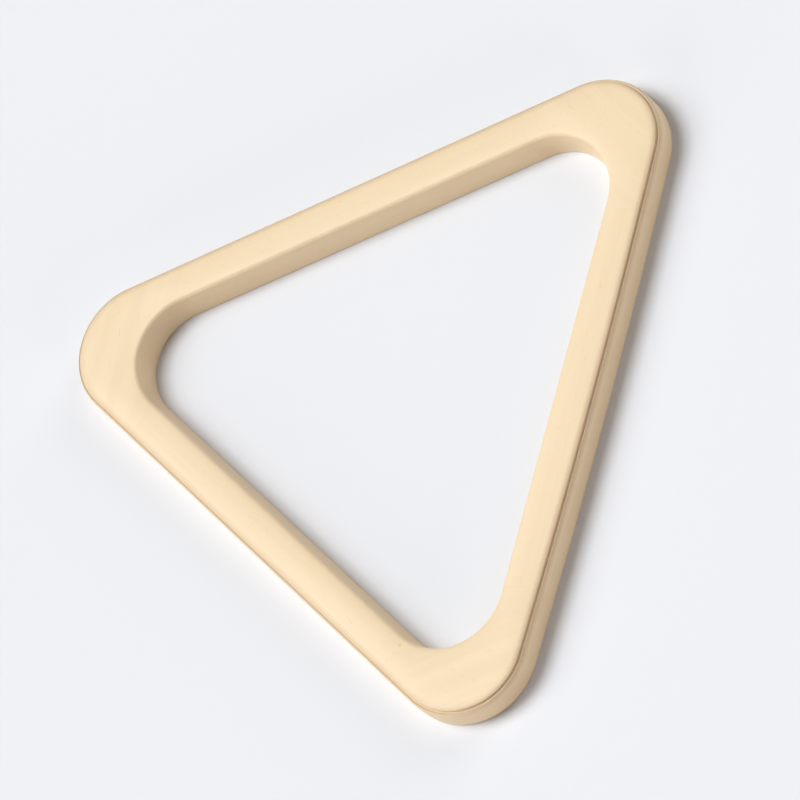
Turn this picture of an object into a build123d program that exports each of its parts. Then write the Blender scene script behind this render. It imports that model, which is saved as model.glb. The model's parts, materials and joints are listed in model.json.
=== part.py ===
"""Triangle ball rack, solid wood.

Three rails are butted between three rounded corner blocks, with two dowels in each joint. The glued blank
is shaped as one: its inner wall leans back, its top outer edge is broadly rounded with a narrow groove along
it, and its other edges are eased. So the whole ring is made first and then divided at the joints. The rack
lies flat on z = 0 with its apex towards +Y and its origin at the middle of its footprint.
"""

import os
from math import cos, radians, sin, sqrt

from build123d import *

# Driving dimensions, millimetres
ball_diameter = 57.15
ball_rows = 5
ball_clearance = 0.43  # between the widest part of the packed balls and the foot of each rail
rail_width = 25.0  # at the foot of a rail
rack_height = 18.0
inner_corner_radius = 31.5
outer_corner_radius = 39.0
base_bow = 2.0  # how far the outside of the base rail curves out at its middle

inner_lean = 10.0  # degrees that the inner wall leans back from upright
top_inner_radius = 2.5
bottom_inner_radius = 0.5
bottom_outer_radius = 1.5

top_outer_radius = 5.0
groove_radius = 0.9
groove_tilt = 50.0  # degrees above level that the groove faces, part of the way down the rounded edge

joint_setback = 4.0  # from a joint to the end of the opening's straight side
dowel_diameter = 6.0
dowel_length = 30.0
dowel_chamfer = 0.6
dowel_spacing = 10.0
flute_count = 12
flute_radius = 0.35
glue_space = 1.0  # at the blind end of each dowel hole

# Sizes that follow. An apothem is the distance from the middle of the triangle to a side.
ball_pack_apothem = (ball_rows - 1) * ball_diameter / (2 * sqrt(3)) + ball_diameter / 2
inner_apothem = ball_pack_apothem + ball_clearance
outer_apothem = inner_apothem + rail_width
rail_centre = inner_apothem + rail_width / 2
apex_reach = 2 * (outer_apothem - outer_corner_radius) + outer_corner_radius
centre_y = (outer_apothem + base_bow - apex_reach) / 2
half_opening_side = 2 * (inner_apothem - inner_corner_radius) * cos(radians(30))
half_rail = half_opening_side - joint_setback
half_outer_side = 2 * (outer_apothem - outer_corner_radius) * cos(radians(30))
base_curve_radius = (half_outer_side**2 + base_bow**2) / (2 * base_bow)

rack_centre = Vector(0, centre_y, 0)
up = Vector(0, 0, 1)

# Each side's facing direction in degrees, and the corners at the start and the end of its local z axis
sides = {
    "base": (-90, ("right", "left")),
    "right": (30, ("apex", "right")),
    "left": (150, ("left", "apex")),
}


def inner_outline():
    """Edge of the opening on the table: a triangle with rounded corners, apex towards +Y."""
    with BuildSketch(Plane(rack_centre)) as outline:
        RegularPolygon(inner_apothem, side_count=3, major_radius=False, rotation=90)
        fillet(outline.vertices(), radius=inner_corner_radius)
    return outline.sketch


def outer_outline():
    """Outside of the rack: a rounded triangle whose base side is an arc of a very large circle."""
    with BuildSketch(Plane(rack_centre)) as outline:
        with Locations((0, -2 * base_bow)):
            RegularPolygon(outer_apothem + base_bow, side_count=3, major_radius=False, rotation=90)
        with Locations((0, base_curve_radius - outer_apothem - base_bow)):
            Circle(base_curve_radius, mode=Mode.INTERSECT)
        fillet(outline.vertices(), radius=outer_corner_radius)
    return outline.sketch


def section_plane(facing, along=0.0):
    """Plane across a side: origin on the rail's centre line, local x outward, local z along the side."""
    outward = Vector(1, 0, 0).rotate(Axis.Z, facing)
    side_line = outward.cross(up)
    origin = rack_centre + outward * rail_centre + side_line * along + up * rack_height / 2
    return Plane(origin, x_dir=outward, z_dir=side_line)


def joint_planes(side):
    """Each joint of a side, as the name of the corner there and the plane of the glued faces."""
    facing, corners = sides[side]
    for corner, along in zip(corners, (-half_rail, half_rail)):
        yield corner, section_plane(facing, along)


def write(part, name):
    """Label a finished piece and write it as one STEP file."""
    part.label = name
    export_step(part, f"parts/{name}.step")
    print(f"{name}: {part.volume:.0f} mm3")


def groove_profile(edge):
    """Round groove at the start of the rack's top outer edge: local x outward, local y up."""
    along = edge % 0
    tilt = radians(groove_tilt)
    centre = (top_outer_radius * (cos(tilt) - 1), top_outer_radius * (sin(tilt) - 1))
    with BuildSketch(Plane(edge @ 0, x_dir=along.cross(up), z_dir=-along)) as groove:
        with Locations(centre):
            Circle(groove_radius)
    return groove.sketch


def shaped_ring():
    """The whole rack as one piece with its shaped edges and its dowel holes."""
    outside = outer_outline()
    with BuildPart() as ring:
        extrude(outside, amount=rack_height)
        extrude(inner_outline(), amount=rack_height, taper=-inner_lean, mode=Mode.SUBTRACT)

        edge_radii = {0: (bottom_inner_radius, bottom_outer_radius), -1: (top_inner_radius, top_outer_radius)}
        for level, (inner_radius, outer_radius) in edge_radii.items():
            fillet(ring.faces().sort_by(Axis.Z)[level].inner_wires()[0].edges(), radius=inner_radius)
            fillet(ring.faces().sort_by(Axis.Z)[level].outer_wire().edges(), radius=outer_radius)
        top_edge = outside.wire().moved(Location((0, 0, rack_height)))
        sweep(groove_profile(top_edge), path=top_edge, mode=Mode.SUBTRACT)

        for side in sides:
            for _, joint in joint_planes(side):
                with BuildSketch(joint):
                    with GridLocations(dowel_spacing, 1, 2, 1):
                        Circle(dowel_diameter / 2)
                extrude(amount=dowel_length / 2 + glue_space, both=True, mode=Mode.SUBTRACT)
    return ring.part


def rail_envelope(facing):
    """Rectangle across one side, a little larger than the rail's section."""
    margin = base_bow + 1
    with BuildSketch(section_plane(facing)) as envelope:
        Rectangle(rail_width + 2 * margin, rack_height + 2 * margin)
    return envelope.sketch


def make_rails(ring):
    for side, (facing, _) in sides.items():
        with BuildPart() as rail:
            add(ring)
            extrude(rail_envelope(facing), amount=half_rail, both=True, mode=Mode.INTERSECT)
        write(rail.part, f"{side}_rail")


def make_corners(ring):
    """What is left of the ring without its rails."""
    with BuildPart() as corners:
        add(ring)
        for facing, _ in sides.values():
            extrude(rail_envelope(facing), amount=half_rail, both=True, mode=Mode.SUBTRACT)
    left, apex, right = corners.solids().sort_by(Axis.X)
    for name, corner in (("left", left), ("apex", apex), ("right", right)):
        write(corner, f"{name}_corner")


def make_dowels():
    """Fluted dowels with chamfered ends, an inner and an outer one across each joint."""
    for side in sides:
        for corner, joint in joint_planes(side):
            for place, offset in (("inner", -dowel_spacing / 2), ("outer", dowel_spacing / 2)):
                centre = Plane(joint.from_local_coords((offset, 0, 0)), joint.x_dir, joint.z_dir)
                with BuildPart() as dowel:
                    with BuildSketch(centre):
                        Circle(dowel_diameter / 2)
                    extrude(amount=dowel_length / 2, both=True)
                    chamfer(dowel.edges().filter_by(GeomType.CIRCLE), length=dowel_chamfer)
                    with BuildSketch(centre):
                        with PolarLocations(dowel_diameter / 2, flute_count):
                            Circle(flute_radius)
                    extrude(amount=dowel_length / 2, both=True, mode=Mode.SUBTRACT)
                write(dowel.part, f"{side}_rail_{corner}_{place}_dowel")


os.makedirs("parts", exist_ok=True)
rack = shaped_ring()
make_rails(rack)
make_corners(rack)
make_dowels()
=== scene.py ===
"""Looks for the triangle ball rack: finely shaped rails and corner blocks in pale satin maple.

The six wooden pieces are meshed here as quads that follow the rack's outline, with a slightly crowned top,
a leaning inner wall and a narrow groove along the rounded outer edge. They stand for the CAD rails and
corner blocks. The CAD dowels stay, in a beech material.
"""

import json
import math
from collections import namedtuple

import bmesh
import bpy
from mathutils import Matrix, Vector
from mathutils.geometry import tessellate_polygon

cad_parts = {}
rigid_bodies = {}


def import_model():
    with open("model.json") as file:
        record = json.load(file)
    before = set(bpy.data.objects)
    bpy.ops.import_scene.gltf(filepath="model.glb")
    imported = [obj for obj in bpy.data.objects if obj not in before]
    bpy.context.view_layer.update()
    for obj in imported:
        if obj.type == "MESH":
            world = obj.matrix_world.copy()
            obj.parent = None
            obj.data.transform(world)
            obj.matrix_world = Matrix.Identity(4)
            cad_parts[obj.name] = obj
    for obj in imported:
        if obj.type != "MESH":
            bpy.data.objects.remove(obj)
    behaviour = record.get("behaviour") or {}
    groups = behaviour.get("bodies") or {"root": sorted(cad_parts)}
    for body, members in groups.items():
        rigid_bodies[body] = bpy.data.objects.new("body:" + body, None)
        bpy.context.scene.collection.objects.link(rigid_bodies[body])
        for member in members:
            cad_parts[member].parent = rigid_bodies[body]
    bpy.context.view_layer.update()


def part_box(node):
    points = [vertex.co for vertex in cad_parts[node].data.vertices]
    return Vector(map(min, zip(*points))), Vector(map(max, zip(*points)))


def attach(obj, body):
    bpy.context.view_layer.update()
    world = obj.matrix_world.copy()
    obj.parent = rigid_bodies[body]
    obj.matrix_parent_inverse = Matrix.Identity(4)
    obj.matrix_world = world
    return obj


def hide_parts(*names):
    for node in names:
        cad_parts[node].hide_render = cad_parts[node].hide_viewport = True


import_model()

# ---------------------------------------------------------------------------------------------------
# Sizes, in metres and degrees
# ---------------------------------------------------------------------------------------------------
MM = 0.001
RAIL_WIDTH = 25.0 * MM  # at the foot of a rail
OUTER_CORNER_RADIUS = 39.0 * MM
INNER_CORNER_RADIUS = 31.5 * MM
BASE_BOW = 2.0 * MM  # how far the outside of the base rail curves out at its middle
INNER_LEAN = 10.0
CROWN = 0.5 * MM  # how far the top face falls from its middle to where its edges begin
TOP_INNER_RADIUS = 2.5 * MM
BOTTOM_INNER_RADIUS = 0.5 * MM
BOTTOM_OUTER_RADIUS = 1.5 * MM
TOP_OUTER_RADIUS = 5.0 * MM
GROOVE_RADIUS = 0.9 * MM
GROOVE_TURN = 40.0  # how far down the rounded outer edge the groove's middle is, from straight up
SHADE_AND_DUST_REACH = 4.0 * MM  # how far from the groove's middle its dirt, finish and painted shade fade away
DOWEL_HOLE_RADIUS = 3.0 * MM
DOWEL_HOLE_DEPTH = 16.0 * MM
DOWEL_SPACING = 10.0 * MM

rail_low, rail_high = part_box("base_rail")
apex_low, apex_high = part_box("apex_corner")
rack_height = rail_high.z - rail_low.z
half_rail = (rail_high.x - rail_low.x) / 2
base_line = rail_low.y + BASE_BOW
outer_apothem = (apex_high.y - base_line + OUTER_CORNER_RADIUS) / 3
inner_apothem = outer_apothem - RAIL_WIDTH
half_outer_side = 2 * (outer_apothem - OUTER_CORNER_RADIUS) * math.cos(math.radians(30))
rack_centre = Vector((0, base_line + outer_apothem, 0))
up = Vector((0, 0, 1))

SIDES = {"base_rail": 270, "right_rail": 30, "left_rail": 150}
CORNERS = {"apex_corner": 90, "left_corner": 210, "right_corner": 330}

SAME_WAY = 0.9999  # two unit vectors with a greater dot product point the same way

# Mesh density
RAIL_STEPS = 36
CORNER_STEPS = 60
STRAIGHT_SHARE = 0.2  # of a corner block's steps, spent on each of its straight ends
ROUND_STEPS = 8
WALL_STEPS = 8
TOP_STEPS = 14
HOLE_SEGMENTS = 32
SEAM_WIDTH = 0.4 * MM  # beside each joint, where the glue line tints the wood
CORNER_LENGTH = 6 * OUTER_CORNER_RADIUS  # that a corner block's seams are measured against


def heading(degrees):
    """Unit vector in the plane of the table."""
    return Vector((math.cos(math.radians(degrees)), math.sin(math.radians(degrees)), 0))


# ---------------------------------------------------------------------------------------------------
# Outlines on the table: each gives the point and the outward direction a share of the way along a piece
# ---------------------------------------------------------------------------------------------------
def rail_outline(facing, apothem):
    outward = heading(facing)
    along = heading(facing + 90)

    def at(share):
        return rack_centre + outward * apothem + along * half_rail * (2 * share - 1), outward

    return at


def corner_outline(facing, apothem, radius):
    """Straight from the joint, round the corner, and straight to the next joint."""
    arc_centre = rack_centre + heading(facing) * 2 * (apothem - radius)
    straight = 2 * (apothem - radius) * math.cos(math.radians(30)) - half_rail

    def at(share):
        turned = min(max((share - STRAIGHT_SHARE) / (1 - 2 * STRAIGHT_SHARE), 0), 1)
        angle = facing - 60 + 120 * turned
        before = max(1 - share / STRAIGHT_SHARE, 0)
        after = max(1 - (1 - share) / STRAIGHT_SHARE, 0)
        outward = heading(angle)
        return arc_centre + outward * radius + heading(angle + 90) * straight * (after - before), outward

    return at


def bowed(outline):
    """The same outline with the base's side curving gently out."""

    def at(share):
        point, outward = outline(share)
        on_base = outward.dot(heading(SIDES["base_rail"])) > SAME_WAY
        bow = BASE_BOW * max(0, 1 - (point.x / half_outer_side) ** 2) if on_base else 0
        return point + outward * bow, outward

    return at


# ---------------------------------------------------------------------------------------------------
# The section
# ---------------------------------------------------------------------------------------------------
# Depth is the distance into the wood from the outline on the table. The last two fields, from 0 to 1, tell
# the material where hands rub the wood, and where gathered dirt and finish and painted shade darken the
# groove.
SectionPoint = namedtuple("SectionPoint", "depth height wear crevice")


def arc(depth, height, radius, start, end, wear=0):
    """Part of a circle about a centre. Angles are in degrees and turn from straight up towards the wall."""
    points = []
    for step in range(ROUND_STEPS + 1):
        angle = math.radians(start + (end - start) * step / ROUND_STEPS)
        strength = math.sin(math.pi * step / ROUND_STEPS)
        turned_depth = depth - radius * math.sin(angle)
        turned_height = height + radius * math.cos(angle)
        points.append(SectionPoint(turned_depth, turned_height, wear * strength, 0))
    return points


def wall(top, foot):
    """Points strictly between the end of one arc and the start of the next."""
    for step in range(1, WALL_STEPS):
        share = step / WALL_STEPS
        depth = top.depth + (foot.depth - top.depth) * share
        yield SectionPoint(depth, top.height + (foot.height - top.height) * share, 0, 0)


def shaded_and_dusted(points, middle):
    """The same points, marked with dirt, finish and painted shade that fade from the groove's middle."""
    for point in points:
        distance = math.dist((point.depth, point.height), middle)
        yield point._replace(crevice=max(1 - distance / SHADE_AND_DUST_REACH, 0))


def inner_side(edge_slope):
    """From the top face down the leaning inner wall to the table."""
    lean = math.radians(INNER_LEAN)

    def centre(height, radius):
        return height * math.tan(lean) + radius / math.cos(lean), height, radius

    drop = CROWN + TOP_INNER_RADIUS * math.cos(math.radians(edge_slope))
    top = arc(*centre(rack_height - drop, TOP_INNER_RADIUS), edge_slope, 90 - INNER_LEAN, wear=1)
    foot_centre = centre(BOTTOM_INNER_RADIUS, BOTTOM_INNER_RADIUS)
    foot = arc(*foot_centre, 90 - INNER_LEAN, 180)
    return top + list(wall(top[-1], foot[0])) + foot


def outer_side(edge_slope):
    """From the top face down the rounded edge, with its groove, and the outer wall to the table."""
    radius = TOP_OUTER_RADIUS
    level = rack_height - CROWN - radius * math.cos(math.radians(edge_slope))
    turn = math.radians(GROOVE_TURN)
    middle = (radius * (1 - math.sin(turn)), level + radius * math.cos(turn))
    half_angle = math.degrees(2 * math.asin(GROOVE_RADIUS / (2 * radius)))
    start = GROOVE_TURN - 90 - half_angle / 2
    end = GROOVE_TURN - 270 + half_angle / 2

    before = arc(radius, level, radius, edge_slope, GROOVE_TURN - half_angle, wear=1)
    groove = arc(*middle, GROOVE_RADIUS, start, end)
    after = arc(radius, level, radius, GROOVE_TURN + half_angle, 90, wear=1)
    foot = arc(BOTTOM_OUTER_RADIUS, BOTTOM_OUTER_RADIUS, BOTTOM_OUTER_RADIUS, 90, 180)
    points = before + groove[1:] + after[1:] + list(wall(after[-1], foot[0])) + foot
    return list(shaded_and_dusted(points, middle))


def placed(points, foot, into_wood):
    """Section points set out from a point on an outline, each with its wear and its groove darkening."""
    for point in points:
        yield foot + into_wood * point.depth + up * point.height, point.wear, point.crevice


def section_loop(inner, outer):
    """The closed section between an inner and an outer outline, as points with their wear and groove
    darkening.
    """
    inner_foot, inner_outward = inner
    outer_foot, outer_outward = outer
    width = (outer_foot - inner_foot).length - inner_side(0)[0].depth - outer_side(0)[0].depth
    edge_slope = math.degrees(math.atan(4 * CROWN / width))

    inner_points = list(placed(inner_side(edge_slope), inner_foot, inner_outward))
    outer_points = list(placed(outer_side(edge_slope), outer_foot, -outer_outward))
    inner_edge, outer_edge = inner_points[0][0], outer_points[0][0]
    rise = rack_height - (inner_edge.z + outer_edge.z) / 2
    top, underside = [], []
    for step in range(1, TOP_STEPS):
        share = step / TOP_STEPS
        top.append((inner_edge.lerp(outer_edge, share) + up * rise * 4 * share * (1 - share), 0, 0))
        underside.append((outer_points[-1][0].lerp(inner_points[-1][0], share), 0, 0))
    return inner_points[::-1] + top + outer_points + underside


# ---------------------------------------------------------------------------------------------------
# Meshes
# ---------------------------------------------------------------------------------------------------
def add_joint_face(mesh, loop, centre, across, away):
    """Closes one end of a piece with a flat glued face and its two blind dowel holes."""
    boundaries = [loop]
    for offset in (-DOWEL_SPACING / 2, DOWEL_SPACING / 2):
        rim = []
        for segment in range(HOLE_SEGMENTS):
            angle = 2 * math.pi * segment / HOLE_SEGMENTS
            spoke = across * math.cos(angle) + up * math.sin(angle)
            rim.append(mesh.verts.new(centre + across * offset + spoke * DOWEL_HOLE_RADIUS))
        boundaries.append(rim)
    flat = [vertex for boundary in boundaries for vertex in boundary]
    for corner in tessellate_polygon([[vertex.co for vertex in boundary] for boundary in boundaries]):
        mesh.faces.new([flat[i] for i in corner])
    for rim in boundaries[1:]:
        blind_end = [mesh.verts.new(vertex.co - away * DOWEL_HOLE_DEPTH) for vertex in rim]
        join_loops(mesh, rim, blind_end)
        mesh.faces.new(blind_end)


def join_loops(mesh, near, far):
    """A band of quads between two loops with as many vertices."""
    for i in range(len(near)):
        j = (i + 1) % len(near)
        mesh.faces.new((near[i], near[j], far[j], far[i]))


def wooden_piece(name, inner, outer, length, steps):
    """A closed mesh between an inner and an outer outline, with a narrow seam beside each joint."""
    mesh = bmesh.new()
    wear = mesh.verts.layers.float.new("wear")
    # Painted shade and gathered dirt along the outer groove, from 0 to 1
    crevice = mesh.verts.layers.float.new("crevice")
    seam = mesh.verts.layers.float.new("seam")
    seam_share = SEAM_WIDTH / length
    shares = [0, seam_share] + [step / steps for step in range(1, steps)] + [1 - seam_share, 1]
    loops = []
    for share in shares:
        loop = []
        for point, wear_here, groove_shade_and_dust_here in section_loop(inner(share), outer(share)):
            vertex = mesh.verts.new(point)
            vertex[wear] = wear_here
            vertex[crevice] = groove_shade_and_dust_here
            vertex[seam] = 1 if share in (0, 1) else 0
            loop.append(vertex)
        loops.append(loop)
    for near, far in zip(loops, loops[1:]):
        join_loops(mesh, near, far)
    for share, loop, way in ((0, loops[0], -1), (1, loops[-1], 1)):
        foot, outward = inner(share)
        centre = foot + outward * RAIL_WIDTH / 2 + up * rack_height / 2
        add_joint_face(mesh, loop, centre, outward, up.cross(outward) * way)
    bmesh.ops.recalc_face_normals(mesh, faces=mesh.faces)

    data = bpy.data.meshes.new(name)
    mesh.to_mesh(data)
    mesh.free()
    data.shade_smooth()
    data.set_sharp_from_angle(angle=math.radians(40))
    piece = bpy.data.objects.new(name, data)
    bpy.context.scene.collection.objects.link(piece)
    return piece


# ---------------------------------------------------------------------------------------------------
# Materials
# ---------------------------------------------------------------------------------------------------
# The last colour darkens the groove, as gathered dirt and painted shade, and tints the glue lines.
Wood = namedtuple("Wood", "light dark end_grain fleck worn dust")
MAPLE = Wood(
    light=(0.750, 0.600, 0.395, 1),
    dark=(0.718, 0.566, 0.362, 1),
    end_grain=(0.680, 0.525, 0.326, 1),
    fleck=(0.580, 0.420, 0.245, 1),
    worn=(0.770, 0.638, 0.450, 1),
    dust=(0.455, 0.315, 0.185, 1),
)
BEECH = Wood(
    light=(0.610, 0.410, 0.240, 1),
    dark=(0.500, 0.315, 0.170, 1),
    end_grain=(0.390, 0.235, 0.125, 1),
    fleck=(0.290, 0.150, 0.075, 1),
    worn=(0.640, 0.450, 0.280, 1),
    dust=(0.300, 0.190, 0.110, 1),
)
GROOVE_SHADE_AND_DUST_SHARE = 0.6  # share of the dark colour in the groove's middle: gathered dirt and finish, and painted shade
SEAM_TINT = 0.12  # share of the dark groove colour along a glue line
PIN_KNOT = Vector((-145.3, -87.6, 17.8)) * MM  # the one blemish, a small brown knot on the left corner block


def add_node(tree, kind, inputs, **settings):
    """A shader node. Each input is given a plain value or another node's output."""
    node = tree.nodes.new(kind)
    for name, value in settings.items():
        setattr(node, name, value)
    for name, value in inputs.items():
        if isinstance(value, bpy.types.NodeSocket):
            tree.links.new(value, node.inputs[name])
        else:
            node.inputs[name].default_value = value
    return node


def attribute(tree, name):
    return add_node(tree, "ShaderNodeAttribute", {}, attribute_name=name).outputs["Fac"]


def ramp(tree, value, start, end, low=0.0, high=1.0):
    """Rises smoothly from low to high as the value goes from start to end."""
    inputs = {"Value": value, "From Min": start, "From Max": end, "To Min": low, "To Max": high}
    return add_node(tree, "ShaderNodeMapRange", inputs, interpolation_type="SMOOTHSTEP").outputs["Result"]


def times(tree, first, second):
    return add_node(tree, "ShaderNodeMath", {0: first, 1: second}, operation="MULTIPLY").outputs["Value"]


def plus(tree, first, second):
    return add_node(tree, "ShaderNodeMath", {0: first, 1: second}, operation="ADD").outputs["Value"]


def blend(tree, share, first, second):
    """The first colour, with a share of the second."""
    inputs = {"Fac": share, "Color1": first, "Color2": second}
    return add_node(tree, "ShaderNodeMixRGB", inputs).outputs["Color"]


def streaks(tree, grain, along, across, detail=2.0):
    """Noise drawn out along the grain, with the usual length and width of a streak in metres."""
    scale = (1 / along, 1 / across, 1 / across)
    size = add_node(tree, "ShaderNodeMapping", {"Vector": grain, "Scale": scale})
    inputs = {"Vector": size.outputs["Vector"], "Scale": 1.0, "Detail": detail, "Roughness": 0.55}
    return add_node(tree, "ShaderNodeTexNoise", inputs).outputs["Fac"]


def end_grain_share(tree, grain_angle):
    """How squarely the surface cuts across the fibres."""
    normal = add_node(tree, "ShaderNodeTexCoord", {}).outputs["Normal"]
    inputs = {0: normal, 1: heading(grain_angle)}
    facing = add_node(tree, "ShaderNodeVectorMath", inputs, operation="DOT_PRODUCT")
    squared = times(tree, facing.outputs["Value"], facing.outputs["Value"])
    return ramp(tree, squared, 0.45, 1.0)


def pin_knot_share(tree, place):
    distance = add_node(tree, "ShaderNodeVectorMath", {0: place, 1: PIN_KNOT}, operation="DISTANCE")
    return ramp(tree, distance.outputs["Value"], 1.3 * MM, 0.5 * MM)


def wood_material(name, wood, grain_angle, offset):
    """Sanded wood under a thin satin lacquer, with its grain in one direction."""
    material = bpy.data.materials.new(name)
    material.use_nodes = True
    tree = material.node_tree
    place = add_node(tree, "ShaderNodeTexCoord", {}).outputs["Object"]
    turn = (0, 0, -math.radians(grain_angle))
    turned = {"Vector": place, "Rotation": turn, "Location": (offset, offset, 0)}
    grain = add_node(tree, "ShaderNodeMapping", turned).outputs["Vector"]

    bands = streaks(tree, grain, 0.25, 0.008)
    clouds = streaks(tree, grain, 0.05, 0.02)
    fibres = streaks(tree, grain, 0.025, 0.0004)
    flecks = ramp(tree, streaks(tree, grain, 0.005, 0.0008), 0.62, 0.75)
    scuffs = ramp(tree, streaks(tree, grain, 0.004, 0.002, detail=4.0), 0.45, 0.65)
    end_grain = end_grain_share(tree, grain_angle)
    worn = times(tree, attribute(tree, "wear"), scuffs)
    # Painted shade: the groove and the band around it are darkened partly for gathered dirt and finish,
    # partly for shade.
    groove_shade_and_dust_share = times(tree, attribute(tree, "crevice"), GROOVE_SHADE_AND_DUST_SHARE)
    seam_tint = times(tree, attribute(tree, "seam"), SEAM_TINT)
    shade_dust_and_glue = plus(tree, groove_shade_and_dust_share, seam_tint)

    colour = blend(tree, ramp(tree, bands, 0.3, 0.7), wood.light, wood.dark)
    colour = blend(tree, ramp(tree, clouds, 0.35, 0.7, 0.0, 0.35), colour, wood.dark)
    colour = blend(tree, ramp(tree, fibres, 0.3, 0.75, 0.0, 0.4), colour, wood.dark)
    colour = blend(tree, times(tree, flecks, 0.35), colour, wood.fleck)
    colour = blend(tree, times(tree, end_grain, 0.35), colour, wood.end_grain)
    colour = blend(tree, times(tree, worn, 0.5), colour, wood.worn)
    colour = blend(tree, shade_dust_and_glue, colour, wood.dust)
    colour = blend(tree, times(tree, pin_knot_share(tree, place), 0.6), colour, wood.fleck)

    gloss_loss = plus(tree, times(tree, end_grain, 0.10), times(tree, worn, 0.08))
    roughness = plus(tree, ramp(tree, fibres, 0.2, 0.8, 0.46, 0.56), gloss_loss)
    height = plus(tree, times(tree, fibres, 0.6), times(tree, flecks, -0.4))
    bump = add_node(tree, "ShaderNodeBump", {"Height": height, "Strength": 0.35, "Distance": 0.06 * MM})

    shader = tree.nodes["Principled BSDF"]
    tree.links.new(colour, shader.inputs["Base Color"])
    tree.links.new(roughness, shader.inputs["Roughness"])
    tree.links.new(bump.outputs["Normal"], shader.inputs["Normal"])
    return material


# ---------------------------------------------------------------------------------------------------
# Build the rack
# ---------------------------------------------------------------------------------------------------
def add_piece(node, inner, outer, length, steps, grain_angle):
    piece = wooden_piece(f"{node}_maple", inner, bowed(outer), length, steps)
    piece.data.materials.append(wood_material(f"{node}_wood", MAPLE, grain_angle, grain_angle * MM))
    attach(piece, "root")
    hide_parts(node)


for node, facing in SIDES.items():
    outlines = [rail_outline(facing, apothem) for apothem in (inner_apothem, outer_apothem)]
    add_piece(node, *outlines, 2 * half_rail, RAIL_STEPS, facing + 90)

for node, facing in CORNERS.items():
    inner = corner_outline(facing, inner_apothem, INNER_CORNER_RADIUS)
    outer = corner_outline(facing, outer_apothem, OUTER_CORNER_RADIUS)
    add_piece(node, inner, outer, CORNER_LENGTH, CORNER_STEPS, facing + 90)

for node, facing in SIDES.items():
    beech = wood_material(f"{node}_dowel_wood", BEECH, facing + 90, facing * MM)
    for dowel in bpy.data.objects:
        if dowel.name.startswith(node) and dowel.name.endswith("_dowel"):
            dowel.data.materials.clear()
            dowel.data.materials.append(beech)


# ---------------------------------------------------------------------------------------------------
# Floor, light and camera
# ---------------------------------------------------------------------------------------------------
WARM = (1.0, 0.88, 0.84)  # colour of the fill lamps


def make_floor():
    bpy.ops.mesh.primitive_plane_add(size=12, location=(0, 0, 0))
    floor = bpy.context.object
    floor.name = "table_top"
    material = bpy.data.materials.new("table_top")
    material.use_nodes = True
    shader = material.node_tree.nodes["Principled BSDF"]
    shader.inputs["Base Color"].default_value = (0.714, 0.732, 0.765, 1)
    shader.inputs["Roughness"].default_value = 0.9
    shader.inputs["Specular IOR Level"].default_value = 0.1
    floor.data.materials.append(material)


def direction_from(azimuth, elevation):
    """Unit vector towards a place around and above the rack."""
    return heading(azimuth) * math.cos(math.radians(elevation)) + up * math.sin(math.radians(elevation))


def soft_light(name, azimuth, elevation, strength, softness, colour=(1, 1, 1)):
    """A distant studio light; softness is the angle that it fills in degrees."""
    data = bpy.data.lights.new(name, "SUN")
    data.energy = strength
    data.color = colour
    data.angle = math.radians(softness)
    lamp = bpy.data.objects.new(name, data)
    lamp.rotation_euler = direction_from(azimuth, elevation).to_track_quat("Z", "Y").to_euler()
    bpy.context.scene.collection.objects.link(lamp)


def make_camera():
    view_azimuth, view_elevation, view_roll = 26.702, 55.557, 52.032
    aim = Vector((-10.04, -42.44, 9.0)) * MM
    distance = 3.1868
    data = bpy.data.cameras.new("camera")
    data.lens = 270
    data.sensor_width = 36
    camera = bpy.data.objects.new("camera", data)
    forward = heading(90 - view_azimuth) * math.cos(math.radians(view_elevation))
    forward.z = -math.sin(math.radians(view_elevation))
    camera.matrix_world = (
        Matrix.Translation(aim - forward * distance)
        @ forward.to_track_quat("-Z", "Y").to_matrix().to_4x4()
        @ Matrix.Rotation(math.radians(-view_roll), 4, "Z")
    )
    bpy.context.scene.collection.objects.link(camera)
    bpy.context.scene.camera = camera


make_floor()
soft_light("key", 95, 62, 2.4, 30)
soft_light("key_lower", 107, 42, 1.3, 30)
soft_light("side", 150, 18, 0.53, 30)
soft_light("front", 250, 40, 0.2, 30, WARM)
soft_light("front_low", 240, 9, 0.78, 20, WARM)
soft_light("left_low", 180, 6, 0.46, 20, WARM)
soft_light("right", 333, 26, 0.75, 30)
soft_light("right_low", 340, 8, 0.45, 20, WARM)
world = bpy.data.worlds.new("studio")
world.use_nodes = True
world.node_tree.nodes["Background"].inputs["Strength"].default_value = 0
bpy.context.scene.world = world
make_camera()
bpy.context.scene.view_settings.view_transform = "Standard"
